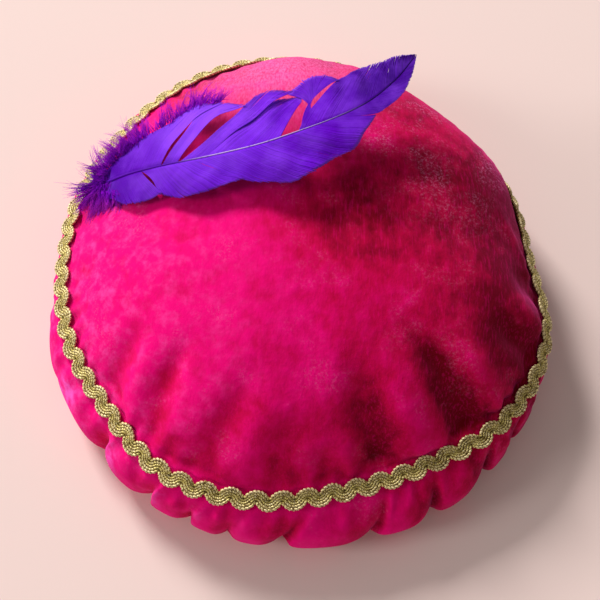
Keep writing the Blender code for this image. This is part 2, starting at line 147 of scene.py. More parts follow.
# Folds of the crown, each with its angle, where it starts and stops between the top (0) and the
# seam (1), how far it bends round on the way, its half width in degrees and its depth; a
# negative depth is a ridge
CROWN_FOLDS = (
    (211, 0.48, 0.88, 7, 4.0, 3.6),
    (219, 0.50, 0.88, 7, 3.5, -1.6),
    (226, 0.38, 0.84, 7, 4.0, 4.0),
    (240, 0.66, 0.93, 0, 3.0, 1.6),
    (253, 0.33, 0.90, -7, 5.5, 3.8),
    (266, 0.50, 0.88, 0, 6.0, 3.4),
    (276, 0.66, 0.90, 1, 3.2, 3.0),
    (282, 0.60, 0.88, 0, 3.5, -2.6),
    (290, 0.32, 0.88, -2, 6.5, 5.0),
    (303, 0.36, 0.86, -5, 5.0, -2.6),
    (309, 0.52, 0.90, 0, 2.6, 3.0),
    (316, 0.32, 0.92, -4, 4.2, 6.0),
    (323, 0.46, 0.84, -3, 4.0, -2.8),
    (335, 0.56, 0.92, 0, 3.6, 4.6),
    (342, 0.60, 0.90, 0, 3.4, -2.4),
    (350, 0.66, 0.90, 0, 3.5, 2.4),
    (12, 0.66, 0.90, -20, 4.0, -1.2),
    (42, 0.60, 0.92, 0, 9.0, -1.0),
    (82, 0.55, 0.88, 0, 8.0, 2.6),
    (122, 0.60, 0.93, 0, 6.0, 2.8),
    (152, 0.58, 0.90, 0, 5.0, 2.0),
    (186, 0.60, 0.92, 0, 5.0, 1.8),
)

# What the velvet reads, to paint shade in the folds and light on the ridges: a piece's level, plus the depth
# of its folds over this many millimetres
FOLD_MARK = 16.0
CROWN_LEVEL = 0.5

# Where the feather's stitches pull the crown down
STITCH = (-108.0, 40.0)
STITCH_REACH = 20.0
STITCH_DEPTH = 3.0

PUCKERS = 74
PUCKER_DEPTH = 1.25
TAUT_ANGLE = 45.0
TAUT_REACH = (35.0, 75.0)
TAUT_SHARE = 0.75
SWELLS = 14
SWELL_DEPTH = 0.55


def column(rows, names, name):
    """One named column of a table, as an array."""
    return np.array([row[names.index(name)] for row in rows], dtype=float)


def smooth(stations, values, where):
    """A curve through the stations: each span is a cubic that keeps the local slope."""
    slopes = np.gradient(values, stations)
    where = np.clip(where, stations[0], stations[-1])
    i = np.clip(np.searchsorted(stations, where, side="right") - 1, 0, len(stations) - 2)
    span = stations[i + 1] - stations[i]
    f = (where - stations[i]) / span
    start = (1 + 2 * f) * (1 - f) ** 2 * values[i] + f * (1 - f) ** 2 * span * slopes[i]
    end = f**2 * (3 - 2 * f) * values[i + 1] + f**2 * (f - 1) * span * slopes[i + 1]
    return start + end


def around(name, angle):
    """A column of the seam's table at any angle, joined smoothly all the way round."""
    angles = column(SEAM, SEAM_COLUMNS, "angle")
    turns = np.concatenate([angles - 360, angles, angles + 360])
    return smooth(turns, np.tile(column(SEAM, SEAM_COLUMNS, name), 3), np.mod(angle, 360))


def ease(low, high, value):
    """0 below low, 1 above high, and 3f^2 - 2f^3 between them."""
    f = np.clip((value - low) / (high - low), 0, 1)
    return f * f * (3 - 2 * f)


def turned(angle, radius, height):
    """Points at these angles, radii and heights."""
    turn = np.radians(angle)
    return np.stack([radius * np.cos(turn), radius * np.sin(turn), height], axis=-1)


def bed_edge(angle):
    """Radius and height where the dome ends and the braid's bed begins."""
    tilt = np.radians(around("bed_tilt", angle))
    return around("radius", angle) - BED_WIDTH * np.cos(tilt), SEAM_HEIGHT + BED_WIDTH * np.sin(tilt)


def stitch_dip(x, y):
    """How far the feather's stitches pull the crown down: a round dent, as exp(-distance^2)."""
    away = ((x - STITCH[0]) ** 2 + (y - STITCH[1]) ** 2) / STITCH_REACH**2
    return STITCH_DEPTH * np.exp(-away)


def crown_height(x, y):
    """Height of the smooth dome over a place: the foot, plus the rise times (1 - r^2) raised to
    the flatness of that side."""
    angle = np.degrees(np.arctan2(y, x))
    radius, foot = bed_edge(angle)
    level = np.clip(1 - (np.hypot(x, y) / radius) ** 2, 0, 1) ** around("flatness", angle)
    return foot + (SEAM_HEIGHT + DOME_RISE - foot) * level - stitch_dip(x, y)


def aside(angle, middle):
    """How far an angle lies from the middle of a fold, from -180 to 180."""
    return np.mod(angle - middle + 180, 360) - 180


def crown_folds(angle, share):
    """How deep the cloth lies below the smooth dome. Each fold is a bell across its angle,
    faded in and out along the way down; puckers are a sine that wanders and grows towards the
    seam, less where the cloth is taut, and swells are slow sines in both directions."""
    depth = np.zeros_like(share)
    for middle, start, stop, bend, half_width, deep in CROWN_FOLDS:
        way = np.clip((share - start) / (stop - start), 0, 1)
        off = aside(angle, middle + bend * way) / half_width
        reach = ease(start, 0.5 * (start + stop), share) * (1 - ease(stop, 1.0, share))
        depth = depth + deep * np.exp(-(off**2)) * reach
    turn = np.radians(angle)
    wander = 1.3 * np.sin(5 * turn) + 0.8 * np.sin(11 * turn + 1.0)
    pucker = np.sin(PUCKERS * turn + wander) * (0.6 + 0.4 * np.sin(9 * turn + 2.0))
    taut = TAUT_SHARE * (1 - ease(*TAUT_REACH, np.abs(aside(angle, TAUT_ANGLE))))
    depth = depth + PUCKER_DEPTH * pucker * (1 - taut) * ease(0.72, 0.97, share)
    draw = np.random.default_rng(4)
    for _ in range(SWELLS):
        turns = draw.integers(3, 13)
        falls = draw.uniform(2.0, 7.0)
        phase = draw.uniform(0, 2 * np.pi, 2)
        swell = np.sin(turns * turn + phase[0] + 1.2 * np.sin(2 * turn)) * np.sin(falls * share + phase[1])
        depth = depth + SWELL_DEPTH / 2 * swell * ease(0.15, 0.6, share)
    return depth


def crown_point(angle, share):
    """The crown's outside. share is 0 at the top's middle and 1 at the edge of the bed: the
    radius grows as its sine, the height falls as its cosine to a power, and the folds push the
    cloth in along the dome's own slope."""
    radius, foot = bed_edge(angle)
    turn = np.radians(90 * share)
    out = radius * np.sin(turn)
    x = out * np.cos(np.radians(angle))
    y = out * np.sin(np.radians(angle))
    height = foot + (SEAM_HEIGHT + DOME_RISE - foot) * np.cos(turn) ** (2 * around("flatness", angle))
    height = height - stitch_dip(x, y)
    depth = crown_folds(angle, share)
    return turned(angle, out - depth * np.sin(turn), height - depth * np.cos(turn))


def bed_point(angle, way):
    """The crown's edge under the braid: a straight run from the dome's edge down to the seam."""
    edge = crown_point(angle, np.ones_like(way))
    seam = turned(angle, around("radius", angle), SEAM_HEIGHT * np.ones_like(way))
    return edge + (seam - edge) * way[..., None]


def quads(rows, columns, closed):
    """The faces of a grid of points stored row by row; a closed grid joins its last column to
    its first."""
    row = np.arange(rows - 1)[:, None] * columns
    col = np.arange(columns if closed else columns - 1)[None, :]
    beside = (col + 1) % columns
    corners = [row + col, row + beside, row + columns + beside, row + columns + col]
    return np.stack(corners, axis=-1).reshape(-1, 4)


def mesh_of(name, points, faces, uv):
    """A smooth mesh in metres from points in millimetres round the seam's middle. faces is a
    list of arrays, each with its own number of corners; uv has one pair for each point."""
    points = points + np.array([*MIDDLE, 0.0])
    mesh = bpy.data.meshes.new(name)
    loops = np.concatenate([group.ravel() for group in faces])
    counts = np.concatenate([np.full(len(group), group.shape[1]) for group in faces])
    mesh.vertices.add(len(points))
    mesh.vertices.foreach_set("co", (points * MM).astype(np.float32).ravel())
    mesh.loops.add(len(loops))
    mesh.loops.foreach_set("vertex_index", loops.astype(np.int32))
    mesh.polygons.add(len(counts))
    mesh.polygons.foreach_set("loop_start", (np.cumsum(counts) - counts).astype(np.int32))
    mesh.update(calc_edges=True)
    layer = mesh.uv_layers.new(name="weave")
    layer.data.foreach_set("uv", uv[loops].astype(np.float32).ravel())
    mesh.shade_smooth()
    return mesh


def piece_of(mesh, material, slot, *nodes):
    """Puts a mesh in the scene as a piece that rides on the body and stands for these nodes."""
    piece = bpy.data.objects.new(mesh.name, mesh)
    bpy.context.scene.collection.objects.link(piece)
    mesh.materials.append(material)
    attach(piece, "root")
    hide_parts(*nodes)
    return piece


def wall(piece, thickness):
    """Gives an open sheet its thickness, inwards from the side that shows."""
    modifier = piece.modifiers.new("wall", "SOLIDIFY")
    modifier.thickness = thickness * MM
    modifier.offset = -1
    return modifier


# The velvet's colours: deep, mid and bright tones, then the painted highlight of the blotches, the painted
# sheen, the painted flank highlight, the dust specks, and the shader's sheen tint
VELVET_DEEP = (0.18, 0.0003, 0.005)
VELVET_MID = (0.60, 0.0006, 0.058)
VELVET_BRIGHT = (0.94, 0.0012, 0.205)
VELVET_BLOTCH_HIGHLIGHT = (1.0, 0.085, 0.44)
VELVET_PAINTED_SHEEN = (1.0, 0.24, 0.60)
VELVET_FLANK_HIGHLIGHT = (1.0, 0.12, 0.62)
VELVET_DUST = (1.0, 0.34, 0.66)
VELVET_SHEEN = (1.0, 0.09, 0.46)
PATCHES_PER_METRE = 42
BLOTCHES_PER_METRE = 190
SPECKS_PER_METRE = 640
NAP_LINES = (900.0, 130.0, 900.0)

# Places where light is painted on, or shade where the amount is negative: painted light at the left,
# painted shade at the right and at the back right, and the feather's painted shadow; each has its centre,
# its reach and its amount
PAINTED_LIGHT_AND_SHADE = (
    ((-130, -30, 40), 240, 0.32),
    ((150, -48, 30), 165, -0.56),
    ((104, 54, 75), 108, -0.36),
    ((22, 8, 88), 58, -0.42),
)
# Places, each as a centre and a reach: the dust at the back right, the painted highlight blotches at the
# left, the painted sheen along the back and the painted flank highlights at the lower left
DUSTY = ((88, 72, 70), 88)
HIGHLIGHT_BLOTCH_PLACE = ((-120, -30, 45), 150)
BACK_SHEEN_PLACE = ((-10, 125, 60), 88)
FLANK_HIGHLIGHT_PLACE = ((-130, -70, 20), 150)


def math_node(tree, operation, a, b):
    """One sum on values or sockets."""
    node = tree.nodes.new("ShaderNodeMath")
    node.operation = operation
    for socket, value in zip(node.inputs, (a, b)):
        if isinstance(value, (int, float)):
            socket.default_value = value
        else:
            tree.links.new(value, socket)
    return node.outputs[0]


def times(tree, a, b):
    """The product of two values or sockets."""
    return math_node(tree, "MULTIPLY", a, b)


def plus(tree, a, b):
    """The sum of two values or sockets."""
    return math_node(tree, "ADD", a, b)


def weave_marks(tree):
    """The two marks that the piece's own map gives each place."""
    marks = tree.nodes.new("ShaderNodeUVMap")
    marks.uv_map = "weave"
    parts = tree.nodes.new("ShaderNodeSeparateXYZ")
    tree.links.new(marks.outputs["UV"], parts.inputs[0])
    return parts.outputs[0], parts.outputs[1]


def noise(tree, place, scale, detail, roughness=0.55):
    """Soft noise, from 0 to 1, with this many lumps to the metre."""
    node = tree.nodes.new("ShaderNodeTexNoise")
    node.inputs["Scale"].default_value = scale
    node.inputs["Detail"].default_value = detail
    node.inputs["Roughness"].default_value = roughness
    tree.links.new(place, node.inputs["Vector"])
    return node.outputs["Fac"]


def stretched(tree, place, scale):
    """The place with each direction scaled on its own."""
    node = tree.nodes.new("ShaderNodeMapping")
    node.inputs["Scale"].default_value = scale
    tree.links.new(place, node.inputs["Vector"])
    return node.outputs[0]


def window(tree, value, low, high):
    """0 below low, 1 above high, and a soft step between them."""
    node = tree.nodes.new("ShaderNodeMapRange")
    node.interpolation_type = "SMOOTHSTEP"
    node.inputs["From Min"].default_value = low
    node.inputs["From Max"].default_value = high
    tree.links.new(value, node.inputs["Value"])
    return node.outputs[0]


def mixed(tree, factor, a, b):
    """A mix of two colours, each a tuple or a socket."""
    node = tree.nodes.new("ShaderNodeMix")
    node.data_type = "RGBA"
    tree.links.new(factor, node.inputs["Factor"])
    for socket, value in ((node.inputs[6], a), (node.inputs[7], b)):
        if isinstance(value, tuple):
            socket.default_value = (*value, 1.0)
        else:
            tree.links.new(value, socket)
    return node.outputs[2]


def bumped(tree, height, strength, distance, normal=None):
    """A normal bent by a height that is given in millimetres of distance."""
    node = tree.nodes.new("ShaderNodeBump")
    node.inputs["Strength"].default_value = strength
    node.inputs["Distance"].default_value = distance * MM
    tree.links.new(height, node.inputs["Height"])
    if normal is not None:
        tree.links.new(normal, node.inputs["Normal"])
    return node.outputs[0]


def object_place(tree):
    """The place on the piece itself, in metres."""
    return tree.nodes.new("ShaderNodeTexCoord").outputs["Object"]


def near(tree, place, centre, reach):
    """1 at a centre given in millimetres, fading to 0 at its reach."""
    node = tree.nodes.new("ShaderNodeVectorMath")
    node.operation = "DISTANCE"
    tree.links.new(place, node.inputs[0])
    node.inputs[1].default_value = [value * MM for value in centre]
    return window(tree, node.outputs["Value"], reach * MM, 0.0)


def velvet(name):
    """Crushed velvet, with painted light and shade. Painted light makes it bright at the left, and painted
    shade makes it dark at the right, at the back right and where the feather's shadow falls, over soft
    random patches of lighter and darker tone; fine lines follow the nap. Painted shade darkens the folds and
    painted light brightens the ridges, which the first mark gives, and painted light brightens one flank of
    each gather and painted shade darkens the other, which the second mark gives. It is dusty at the back
    right, and has a painted sheen along the back and painted highlights in blotches and on the lit flanks at
    the left."""
    material, tree, shader = material_of(name)
    depth, flank = weave_marks(tree)
    place = object_place(tree)
    patches = noise(tree, place, PATCHES_PER_METRE, 4, 0.6)
    blotches = noise(tree, stretched(tree, place, (1.0, 0.6, 1.0)), BLOTCHES_PER_METRE, 3, 0.6)
    nap = noise(tree, stretched(tree, place, NAP_LINES), 1.0, 3, 0.6)
    tone_light_and_shade = plus(tree, times(tree, patches, 0.9), times(tree, blotches, 0.5))
    # Painted light at the left, painted shade at the right and back right, and the feather's painted shadow
    for centre, reach, amount in PAINTED_LIGHT_AND_SHADE:
        tone_light_and_shade = plus(tree, tone_light_and_shade, times(tree, near(tree, place, centre, reach), amount))
    # Painted shade in the folds and painted light on the ridges, from the first mark
    tone_light_and_shade = plus(tree, tone_light_and_shade, times(tree, plus(tree, depth, -0.5), -1.3))
    # Painted light on one flank of each gather and painted shade on the other, from the second mark
    tone_light_and_shade = plus(tree, tone_light_and_shade, times(tree, plus(tree, flank, -0.5), 0.34))
    colour = mixed(tree, window(tree, tone_light_and_shade, 0.12, 0.62), VELVET_DEEP, VELVET_MID)
    colour = mixed(tree, window(tree, tone_light_and_shade, 0.48, 1.03), colour, VELVET_BRIGHT)
    grain = times(tree, window(tree, nap, 0.48, 0.72), 0.30)
    colour = mixed(tree, grain, colour, VELVET_BRIGHT)
    specks = window(tree, noise(tree, place, SPECKS_PER_METRE, 4, 0.8), 0.46, 0.80)
    dust = times(tree, window(tree, noise(tree, place, 48, 3), 0.42, 0.64), near(tree, place, *DUSTY))
    dust = plus(tree, dust, times(tree, window(tree, patches, 0.52, 0.68), 0.25))
    colour = mixed(tree, times(tree, dust, specks), colour, VELVET_DUST)
    # Painted highlight blotches where the left side is lit
    highlight_blotch = window(tree, noise(tree, place, 140, 4, 0.65), 0.42, 0.76)
    highlight_blotch = times(tree, highlight_blotch, near(tree, place, *HIGHLIGHT_BLOTCH_PLACE))
    highlight_blotch = times(tree, highlight_blotch, window(tree, tone_light_and_shade, 0.62, 1.02))
    colour = mixed(tree, times(tree, highlight_blotch, 0.7), colour, VELVET_BLOTCH_HIGHLIGHT)
    # Painted sheen along the back
    pale = times(tree, near(tree, place, *BACK_SHEEN_PLACE), window(tree, nap, 0.10, 0.85))
    colour = mixed(tree, times(tree, pale, 0.86), colour, VELVET_PAINTED_SHEEN)
    # Painted highlights on the lit flanks at the lower left
    flank_highlight = times(tree, window(tree, flank, 0.52, 0.95), window(tree, blotches, 0.34, 0.66))
    flank_highlight = times(tree, flank_highlight, near(tree, place, *FLANK_HIGHLIGHT_PLACE))
    colour = mixed(tree, flank_highlight, colour, VELVET_FLANK_HIGHLIGHT)
    tree.links.new(colour, shader.inputs["Base Color"])
    shader.inputs["Roughness"].default_value = 0.75
    shader.inputs["Specular IOR Level"].default_value = 0.04
    shader.inputs["Sheen Weight"].default_value = 0.5
    shader.inputs["Sheen Roughness"].default_value = 0.45
    shader.inputs["Sheen Tint"].default_value = (*VELVET_SHEEN, 1.0)
    normal = bumped(tree, blotches, 0.30, 1.6)
    normal = bumped(tree, nap, 0.15, 0.25, normal)
    tree.links.new(normal, shader.inputs["Normal"])
    return material


share, crown_angle = np.meshgrid(
    np.linspace(0, 1, CROWN_RINGS + 1)[1:], np.linspace(0, 360, CROWN_COLUMNS, endpoint=False), indexing="ij"
)
way, bed_angle = np.meshgrid(np.linspace(0, 1, BED_RINGS + 1)[1:], crown_angle[0], indexing="ij")
top = crown_point(np.array([0.0]), np.array([0.0]))
crown_points = np.concatenate(
    [top, crown_point(crown_angle, share).reshape(-1, 3), bed_point(bed_angle, way).reshape(-1, 3)]
)
spokes = np.arange(CROWN_COLUMNS)
crown_cap = np.stack([np.zeros_like(spokes), 1 + spokes, 1 + (spokes + 1) % CROWN_COLUMNS], axis=-1)
crown_faces = quads(CROWN_RINGS + BED_RINGS, CROWN_COLUMNS, closed=True)[:, ::-1] + 1
# The first mark is the folds' depth, for the velvet's painted shade in the folds and painted light on the
# ridges; the second is even
crown_depth = np.concatenate([[0.0], crown_folds(crown_angle, share).ravel(), np.zeros(bed_angle.size)])
crown_marks = np.stack([CROWN_LEVEL + crown_depth / FOLD_MARK, np.full_like(crown_depth, 0.5)], axis=-1)
crown_mesh = mesh_of("crown_velvet", crown_points, [crown_cap, crown_faces], uv=crown_marks)
crown = piece_of(crown_mesh, velvet("crown_velvet"), "crown_velvet", "crown")
wall(crown, VELVET)

# Underside. The lower ring is a long strip of the same velvet, gathered into the seam above and
# turned in to a hem round the head opening; its folds lie over each other like pillows.
OPENING_RADIUS = 84.0
HEM = 3.4
HEM_REACH = 6.0
COLUMNS_PER_GATHER = 22
ROWS_PER_STATION = 6

UNDERSIDE_COLUMNS = ("on_bed", "shoulder", "widest", "height", "gather")
UNDERSIDE = (
    (0.9, 1.00, 0.00, 0.0, 0.0),
    (6.2, 1.00, 0.00, 0.0, 0.8),
    (6.2, 0.45, 0.55, 14.6, 5.4),
    (6.2, 0.10, 0.90, 20.0, 8.0),
    (6.2, 0.00, 1.00, 15.6, 8.2),
    (6.2, 0.00, 0.96, 7.6, 6.4),
    (6.2, 0.00, 0.86, 2.2, 3.4),
    (6.2, 0.00, 0.72, 0.0, 0.0),
    (6.2, 0.00, 0.36, 0.0, 0.0),
    (6.2, 0.00, 0.15, 2.2, 1.4),
    (6.2, 0.00, 0.04, 5.0, 2.2),
    (6.2, 0.00, 0.00, 9.0, 1.6),
)
WIDEST_STATION = 4

# Creases that show at the front: how deep each is, how far it leans, and how far the fold on
# its right hangs over it
GATHER_COLUMNS = ("angle", "depth", "lean", "tuck")
GATHERS = (
    (188, 0.3, 0.0, 0.0),
    (205, 0.15, 0.0, 0.0),
    (226, 1.15, -3.0, 0.20),
    (238, 0.8, 1.0, 0.16),
    (247, 0.75, 1.0, 0.14),
    (255, 0.5, 2.0, 0.09),
    (266, 0.85, 5.0, 0.14),
    (284, 0.8, 5.5, 0.10),
    (297, 0.85, 3.0, 0.12),
    (311, 1.05, 3.0, 0.15),
    (319, 0.7, 3.0, 0.12),
    (331, 0.7, 2.0, 0.10),
    (343, 0.6, 1.0, 0.10),
)
HIDDEN_GATHERS = 16
PILLOW = 2.6
WRINKLE_DEPTH = 0.8
RIPPLE_DEPTH = 0.45
UNDERSIDE_LEVEL = 0.43


def seat(angle, distance):
    """Where something lies on the seam's bed: distance is negative on the crown's side and
    positive on the underside's. It gives the radius and height of the cloth there."""
    tilt = np.radians(np.where(distance < 0, around("bed_tilt", angle), around("shoulder_tilt", angle)))
    return around("radius", angle) + distance * np.cos(tilt), SEAM_HEIGHT - distance * np.sin(tilt)


def gather_creases():
    """All the creases in order: the ones that show, then evenly spaced ones round the back."""
    seen = list(GATHERS)
    last = seen[-1][0]
    step = (seen[0][0] + 360 - last) / (HIDDEN_GATHERS + 1)
    for n in range(1, HIDDEN_GATHERS + 1):
        sway = 2.2 * np.sin(2.4 * n)
        depth = 0.85 + 0.25 * np.sin(1.7 * n)
        seen.append((last + n * step + sway, depth, 1.5 * np.cos(2.1 * n), 0.08 + 0.04 * np.sin(1.3 * n)))
    return np.array(seen)


def underside_point(place, station):
    """The underside's outside, with how deep it is cut in and which flank it is on; the velvet paints
    shade in the cuts, and light on one flank of each gather and shade on the other. place counts
    the gathers round the hat, and its whole numbers are the creases; station counts the rows of
    the section from the seam inwards. Between two creases the cloth swells as 1 - |2f - 1|^PILLOW,
    and its left flank is drawn back over the crease by the tuck times sin(pi f / 0.6)^2. Short
    wrinkles below the seam and slow ripples are sines. The flank is 1/2 + sin(2 pi f) / 2, faded
    out where the cloth isn't gathered."""
    creases = gather_creases()
    angles, depths, leans, tucks = (column(creases, GATHER_COLUMNS, name) for name in GATHER_COLUMNS)
    count = len(creases)
    order = np.arange(count + 1)
    turn = np.mod(place, count)
    closest = np.mod(np.rint(turn).astype(int), count)
    before = np.mod(np.floor(turn).astype(int), count)
    fraction = np.mod(place, 1.0)
    stations = np.arange(len(UNDERSIDE), dtype=float)
    on_bed, shoulder, widest, height, gather = (
        smooth(stations, column(UNDERSIDE, UNDERSIDE_COLUMNS, name), station) for name in UNDERSIDE_COLUMNS
    )
    gather = np.maximum(gather, 0)
    over = tucks[before] * np.sin(np.pi * np.clip(fraction / 0.6, 0, 1)) ** 2
    over = over * np.clip(gather / 6.0, 0, 1)
    moved = turn - over
    angles = np.append(angles, angles[0] + 360)
    leans = np.append(leans, leans[0])
    to_seam = np.clip(1 - station / WIDEST_STATION, 0, 1)
    angle = np.interp(moved, order, angles, left=angles[0]) + np.interp(moved, order, leans) * to_seam
    angle = angle + np.minimum(moved, 0) * (angles[-1] - angles[-2])
    swell = 1 - np.abs(2 * fraction - 1) ** PILLOW
    cut = gather * depths[closest] * (1 - swell)
    slope = 90 - 90 * np.clip((station - 1) / (WIDEST_STATION - 1), 0, 2)
    shoulder_radius, shoulder_height = seat(angle, on_bed)
    radius = OPENING_RADIUS + shoulder * (shoulder_radius - OPENING_RADIUS)
    radius = radius + widest * (around("widest", angle) - OPENING_RADIUS)
    height = height + shoulder * shoulder_height
    wrinkle = np.sin(2 * np.pi * 3 * place + 2.0 * np.sin(place)) * np.exp(-((station - 1.6) ** 2))
    ripple = np.sin(5.1 * place + 1.9 * station) * np.sin(3.3 * place - 2.3 * station)
    cut = cut + WRINKLE_DEPTH * wrinkle + RIPPLE_DEPTH * ripple * np.clip(gather / 4.0, 0, 1)
    radius = radius - cut * np.cos(np.radians(slope))
    height = height - cut * np.sin(np.radians(slope))
    flank = 0.5 + 0.5 * np.sin(2 * np.pi * fraction) * np.clip(gather / 6.0, 0, 1)
    return turned(angle, radius, np.maximum(height, 0.0)), cut, flank


gather_count = len(GATHERS) + HIDDEN_GATHERS
station_count = len(UNDERSIDE) - 1
underside_rows = station_count * ROWS_PER_STATION + 1
underside_columns = gather_count * COLUMNS_PER_GATHER
station, place = np.meshgrid(
    np.linspace(0, station_count, underside_rows),
    np.arange(underside_columns) / COLUMNS_PER_GATHER,
    indexing="ij",
)
underside_points, underside_depth, underside_lit_flank = underside_point(place, station)
underside_points = underside_points.reshape(-1, 3)
# The marks carry the cut, for the velvet's painted shade in the creases, and the flank, for painted light on
# one flank of each gather and painted shade on the other
underside_marks = UNDERSIDE_LEVEL + underside_depth.ravel() / FOLD_MARK
underside_marks = np.stack([underside_marks, underside_lit_flank.ravel()], axis=-1)
underside_faces = quads(underside_rows, underside_columns, closed=True)[:, ::-1]
underside_mesh = mesh_of("underside_velvet", underside_points, [underside_faces], uv=underside_marks)
underside = piece_of(underside_mesh, velvet("underside_velvet"), "underside_velvet", "underside")
hem = underside.vertex_groups.new(name="hem")
at_hem = np.hypot(underside_points[:, 0], underside_points[:, 1]) < OPENING_RADIUS + HEM_REACH
hem.add(np.flatnonzero(at_hem).tolist(), 1.0, "REPLACE")
underside_wall = wall(underside, HEM)
underside_wall.vertex_group = "hem"
underside_wall.thickness_vertex_group = VELVET / HEM

# Gimp braid. Five cords wound with metal thread swing to and fro as one band, so that both its
# edges are scalloped, over four core cords that are painted dark with the grooves' painted shade.
# It covers the seam and is sewn along its middle.
BRAID_WAVES = 66
BRAID_SWING = np.radians(61.0)
BRAID_LIFT = 1.65
BRAID_DISH = 0.50

# The five cords, each with its offset from the band's middle, its radius and its sides
OUTER = 2.85
CORDS = ((-OUTER, 0.72, 6), (-1.35, 0.62, 5), (0.0, 0.60, 5), (1.35, 0.62, 5), (OUTER, 0.72, 6))
WINDINGS_PER_WAVE = 14
STEPS_PER_WINDING = 3
WINDING_DEPTH = 0.34
CORE_CORDS = (-2.18, -0.73, 0.73, 2.18)
CORE_LIFT = 0.85
CORE_RADIUS = 0.74
CORE_SIDES = 4
CORE_STEPS = 16
# The core cords' winding mark is scaled down, so they take the grooves' painted shade
CORE_SHADE = 0.1
# OLIVE is the painted shade in grooves, hollows and the core cords, and also the colour of dull turns; GLINT
# is a painted glint
PALE_GOLD = (1.0, 0.85, 0.46)
GREEN_GOLD = (0.94, 0.80, 0.19)
GLINT = (1.0, 0.94, 0.66)
OLIVE = (0.20, 0.115, 0.013)


def unit(vector):
    """The same direction at length 1."""
    return vector / np.maximum(np.linalg.norm(vector, axis=-1, keepdims=True), 1e-6)


def tube(centres, up, radius, sides, closed):
    """Rings of points round a path. The side direction is the tangent crossed with up; radius
    has one value for each point of each ring."""
    if closed:
        ahead = np.roll(centres, -1, axis=0) - np.roll(centres, 1, axis=0)
    else:
        ahead = np.gradient(centres, axis=0)
    ahead = unit(ahead)
    side = unit(np.cross(ahead, up))
    above = np.cross(side, ahead)
    turn = np.linspace(0, 2 * np.pi, sides, endpoint=False)
    ring = side[:, None] * np.cos(turn)[None, :, None] + above[:, None] * np.sin(turn)[None, :, None]
    return centres[:, None] + ring * radius[..., None]


def braid_cord(offset, lift, radius, sides, steps, windings):
    """One cord of the braid. The band's middle line is a row of arcs, in turn up and down, that
    meet at the swing's angle: along an arc the direction falls evenly from plus to minus the
    swing, and the arc's radius is a quarter of the wave over sin(swing). The cord lies beside
    that line, and its own radius swells at each winding as 1 + depth * sin(winding + turn). Each
    arc is dished: its outer side stands higher by BRAID_DISH times 4 way (1 - way)."""
    arc, way = np.divmod(np.arange(steps) * 2 * BRAID_WAVES / steps, 1.0)
    side = 1 - 2 * np.mod(arc, 2)
    heading = BRAID_SWING * (1 - 2 * way)
    middle = 180 / BRAID_WAVES * (arc + 0.5)
    seam = around("radius", middle)
    bend = np.pi * seam / BRAID_WAVES / 2 / np.sin(BRAID_SWING)
    along = -(bend + side * offset) * np.sin(heading)
    distance = side * bend * (np.cos(heading) - np.cos(BRAID_SWING)) + offset * np.cos(heading)
    angle = middle + np.degrees(along / seam)
    out, height = seat(angle, distance)
    tilt = np.radians(0.5 * (around("bed_tilt", angle) + around("shoulder_tilt", angle)))
    up = turned(angle, np.sin(tilt), np.cos(tilt))
    outer = side * offset / OUTER * 4 * way * (1 - way)
    centres = turned(angle, out, height) + up * (lift + BRAID_DISH * outer)[:, None]
    winding = 2 * np.pi * np.arange(steps) * windings / steps
    turn = np.linspace(0, 2 * np.pi, sides, endpoint=False)
    swell = np.sin(winding[:, None] + turn[None, :])
    ring = tube(centres, up, radius * (1 + WINDING_DEPTH * swell), sides, closed=True)
    # The marks: the share towards the scallop's outer side and the winding's swell, from which the gimp
    # paints shade in the hollow and the grooves
    outer = np.broadcast_to(0.5 + 0.5 * outer[:, None], swell.shape)
    return ring, np.stack([outer, 0.5 + 0.5 * swell], axis=-1)


def gimp(name):
    """Metal thread, pale gold on the outer side of each scallop and greener towards its hollow, with
    painted shade in the hollow and in each winding's groove; some turns have gone dull and some have painted
    glints."""
    material, tree, shader = material_of(name)
    outer, winding = weave_marks(tree)
    place = object_place(tree)
    turns = noise(tree, place, 900, 2, 0.7)
    dull = noise(tree, place, 620, 2, 0.7)
    gold = plus(tree, times(tree, outer, 0.6), turns)
    colour = mixed(tree, window(tree, gold, 0.50, 1.15), GREEN_GOLD, PALE_GOLD)
    # Painted glints on some turns
    colour = mixed(tree, window(tree, turns, 0.56, 0.74), colour, GLINT)
    # Painted shade: olive in each winding's groove and each scallop's hollow, and olive also where turns
    # have gone dull
    lit = times(tree, window(tree, winding, 0.08, 0.62), window(tree, dull, 0.70, 0.46))
    lit = times(tree, lit, window(tree, outer, -0.05, 0.48))
    colour = mixed(tree, lit, OLIVE, colour)
    tree.links.new(colour, shader.inputs["Base Color"])
    shader.inputs["Metallic"].default_value = 0.2
    shader.inputs["Roughness"].default_value = 0.38
    tree.links.new(bumped(tree, turns, 0.7, 0.4), shader.inputs["Normal"])
    return material


def ring_walls(rings, sides, first):
    """The faces of a closed tube whose points start at this number."""
    row = np.arange(rings)[:, None] * sides
    side = np.arange(sides)[None, :]
    next_row = (row + sides) % (rings * sides)
    next_side = (side + 1) % sides
    corners = [row + side, next_row + side, next_row + next_side, row + next_side]
    return np.stack(corners, axis=-1).reshape(-1, 4) + first


